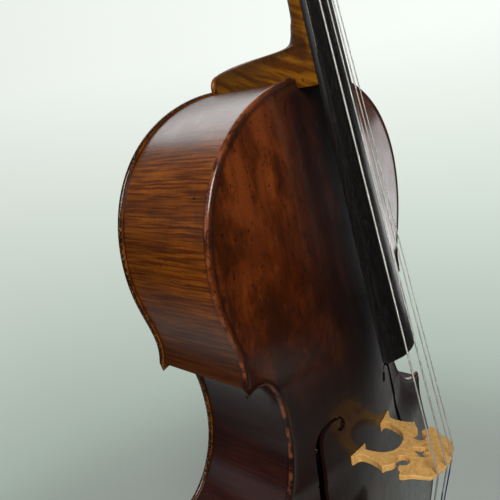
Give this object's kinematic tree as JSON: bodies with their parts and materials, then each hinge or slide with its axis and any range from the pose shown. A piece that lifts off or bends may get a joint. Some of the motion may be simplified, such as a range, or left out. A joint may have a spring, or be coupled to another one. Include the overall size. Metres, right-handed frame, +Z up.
{
  "type": "cello",
  "caption": "Full-size bowed string instrument with arched plates, bridge, fingerboard, turning pegs, screw fine tuners in the tailpiece and a sliding endpin.",
  "frame": {"origin": "centre of the flat bottom face of the endpin's rubber tip, with the endpin at its rest length", "axes": "+Z up along the instrument towards the scroll, +X towards the treble side, the belly faces -Y"},
  "size_m": [0.44, 0.2536, 1.366],
  "materials": {
    "belly_varnish": "red-brown varnish over spruce, worn at the edges",
    "back_varnish": "golden-brown varnish over flamed maple",
    "rib_varnish": "amber to maroon varnish over flamed maple",
    "inner_wood": "bare spruce and willow",
    "neck_maple": "oiled flamed maple",
    "scroll_maple": "red-brown varnish over maple",
    "ebony": "satin black",
    "bridge_maple": "unvarnished maple, honey toned",
    "tail_cord": "dark polymer cord",
    "rubber": "matt black",
    "steel": "satin",
    "string_winding": "flat-wound, fine satin",
    "tuner_metal": "satin, lightly worn"
  },
  "bodies": {
    "instrument": {"belly": "belly_varnish", "back": "back_varnish", "rib_upper_bass": "rib_varnish", "rib_upper_treble": "rib_varnish", "rib_waist_bass": "rib_varnish", "rib_waist_treble": "rib_varnish", "rib_lower_bass": "rib_varnish", "rib_lower_treble": "rib_varnish", "top_block": "inner_wood", "end_block": "inner_wood", "bass_bar": "inner_wood", "sound_post": "inner_wood", "corner_block_upper_bass": "inner_wood", "lining_front_upper_bass": "inner_wood", "lining_back_upper_bass": "inner_wood", "corner_block_lower_bass": "inner_wood", "lining_front_lower_bass": "inner_wood", "lining_back_lower_bass": "inner_wood", "corner_block_upper_treble": "inner_wood", "lining_front_upper_treble": "inner_wood", "lining_back_upper_treble": "inner_wood", "corner_block_lower_treble": "inner_wood", "lining_front_lower_treble": "inner_wood", "lining_back_lower_treble": "inner_wood", "neck": "neck_maple", "pegbox_scroll": "scroll_maple", "fingerboard": "ebony", "nut": "ebony", "saddle": "ebony", "tailpiece": "ebony", "endpin_plug": "ebony", "bridge": "bridge_maple", "tailgut": "tail_cord", "string_c": "string_winding", "string_g": "string_winding", "string_d": "string_winding", "string_a": "string_winding"},
    "endpin": {"endpin_rod": "steel", "endpin_tip": "rubber"},
    "endpin_lock": {"endpin_thumbscrew": "steel"},
    "peg_c_turning": {"peg_c": "ebony", "winding_c": "string_winding"},
    "peg_g_turning": {"peg_g": "ebony", "winding_g": "string_winding"},
    "peg_d_turning": {"peg_d": "ebony", "winding_d": "string_winding"},
    "peg_a_turning": {"peg_a": "ebony", "winding_a": "string_winding"},
    "tuner_c_lever": {"tuner_lever_c": "tuner_metal"},
    "tuner_c_screw": {"tuner_screw_c": "tuner_metal"},
    "tuner_c_knob": {"tuner_knob_c": "tuner_metal"},
    "tuner_g_lever": {"tuner_lever_g": "tuner_metal"},
    "tuner_g_screw": {"tuner_screw_g": "tuner_metal"},
    "tuner_g_knob": {"tuner_knob_g": "tuner_metal"},
    "tuner_d_lever": {"tuner_lever_d": "tuner_metal"},
    "tuner_d_screw": {"tuner_screw_d": "tuner_metal"},
    "tuner_d_knob": {"tuner_knob_d": "tuner_metal"},
    "tuner_a_lever": {"tuner_lever_a": "tuner_metal"},
    "tuner_a_screw": {"tuner_screw_a": "tuner_metal"},
    "tuner_a_knob": {"tuner_knob_a": "tuner_metal"}
  },
  "joints": [
    {"name": "endpin_slide", "type": "slide", "parent": "instrument", "child": "endpin", "axis": [0, 0, 1], "range_m": [-0.26, 0.07]},
    {"name": "endpin_lock_turn", "type": "hinge", "parent": "instrument", "child": "endpin_lock", "pos_m": [0, 0.015, 0.1162], "axis": [0, 1, 0], "range_deg": [-360, 0]},
    {"name": "peg_c_turn", "type": "hinge", "parent": "instrument", "child": "peg_c_turning", "pos_m": [0, -0.0165, 1.203], "axis": [1, 0, 0], "continuous": true},
    {"name": "peg_g_turn", "type": "hinge", "parent": "instrument", "child": "peg_g_turning", "pos_m": [0, -0.0015, 1.258], "axis": [1, 0, 0], "continuous": true},
    {"name": "peg_d_turn", "type": "hinge", "parent": "instrument", "child": "peg_d_turning", "pos_m": [0, 0.0055, 1.278], "axis": [1, 0, 0], "continuous": true},
    {"name": "peg_a_turn", "type": "hinge", "parent": "instrument", "child": "peg_a_turning", "pos_m": [0, -0.0115, 1.228], "axis": [1, 0, 0], "continuous": true},
    {"name": "tuner_c_knob_turn", "type": "hinge", "parent": "tuner_c_screw", "child": "tuner_c_knob", "pos_m": [-0.0165, -0.13974, 0.30995], "axis": [0, 0.9631, 0.269], "range_deg": [-360, 1080]},
    {"name": "tuner_c_screw_travel", "type": "slide", "parent": "instrument", "child": "tuner_c_screw", "axis": [0, 0.9631, 0.269], "range_m": [-0.0007, 0.0021]},
    {"name": "tuner_c_lever_rock", "type": "hinge", "parent": "instrument", "child": "tuner_c_lever", "pos_m": [-0.0165, -0.12566, 0.33465], "axis": [1, 0, 0], "range_deg": [-2.2, 6.2]},
    {"name": "tuner_g_knob_turn", "type": "hinge", "parent": "tuner_g_screw", "child": "tuner_g_knob", "pos_m": [-0.0055, -0.13974, 0.30995], "axis": [0, 0.9631, 0.269], "range_deg": [-360, 1080]},
    {"name": "tuner_g_screw_travel", "type": "slide", "parent": "instrument", "child": "tuner_g_screw", "axis": [0, 0.9631, 0.269], "range_m": [-0.0007, 0.0021]},
    {"name": "tuner_g_lever_rock", "type": "hinge", "parent": "instrument", "child": "tuner_g_lever", "pos_m": [-0.0055, -0.12566, 0.33465], "axis": [1, 0, 0], "range_deg": [-2.2, 6.2]},
    {"name": "tuner_d_knob_turn", "type": "hinge", "parent": "tuner_d_screw", "child": "tuner_d_knob", "pos_m": [0.0055, -0.13974, 0.30995], "axis": [0, 0.9631, 0.269], "range_deg": [-360, 1080]},
    {"name": "tuner_d_screw_travel", "type": "slide", "parent": "instrument", "child": "tuner_d_screw", "axis": [0, 0.9631, 0.269], "range_m": [-0.0007, 0.0021]},
    {"name": "tuner_d_lever_rock", "type": "hinge", "parent": "instrument", "child": "tuner_d_lever", "pos_m": [0.0055, -0.12566, 0.33465], "axis": [1, 0, 0], "range_deg": [-2.2, 6.2]},
    {"name": "tuner_a_knob_turn", "type": "hinge", "parent": "tuner_a_screw", "child": "tuner_a_knob", "pos_m": [0.0165, -0.13974, 0.30995], "axis": [0, 0.9631, 0.269], "range_deg": [-360, 1080]},
    {"name": "tuner_a_screw_travel", "type": "slide", "parent": "instrument", "child": "tuner_a_screw", "axis": [0, 0.9631, 0.269], "range_m": [-0.0007, 0.0021]},
    {"name": "tuner_a_lever_rock", "type": "hinge", "parent": "instrument", "child": "tuner_a_lever", "pos_m": [0.0165, -0.12566, 0.33465], "axis": [1, 0, 0], "range_deg": [-2.2, 6.2]}
  ],
  "couplings": [
    {"joint": "tuner_c_knob_turn", "follows": "tuner_c_screw_travel", "rad_per_m": 8976},
    {"joint": "tuner_c_lever_rock", "follows": "tuner_c_screw_travel", "rad_per_m": 50},
    {"joint": "tuner_g_knob_turn", "follows": "tuner_g_screw_travel", "rad_per_m": 8976},
    {"joint": "tuner_g_lever_rock", "follows": "tuner_g_screw_travel", "rad_per_m": 50},
    {"joint": "tuner_d_knob_turn", "follows": "tuner_d_screw_travel", "rad_per_m": 8976},
    {"joint": "tuner_d_lever_rock", "follows": "tuner_d_screw_travel", "rad_per_m": 50},
    {"joint": "tuner_a_knob_turn", "follows": "tuner_a_screw_travel", "rad_per_m": 8976},
    {"joint": "tuner_a_lever_rock", "follows": "tuner_a_screw_travel", "rad_per_m": 50}
  ]
}
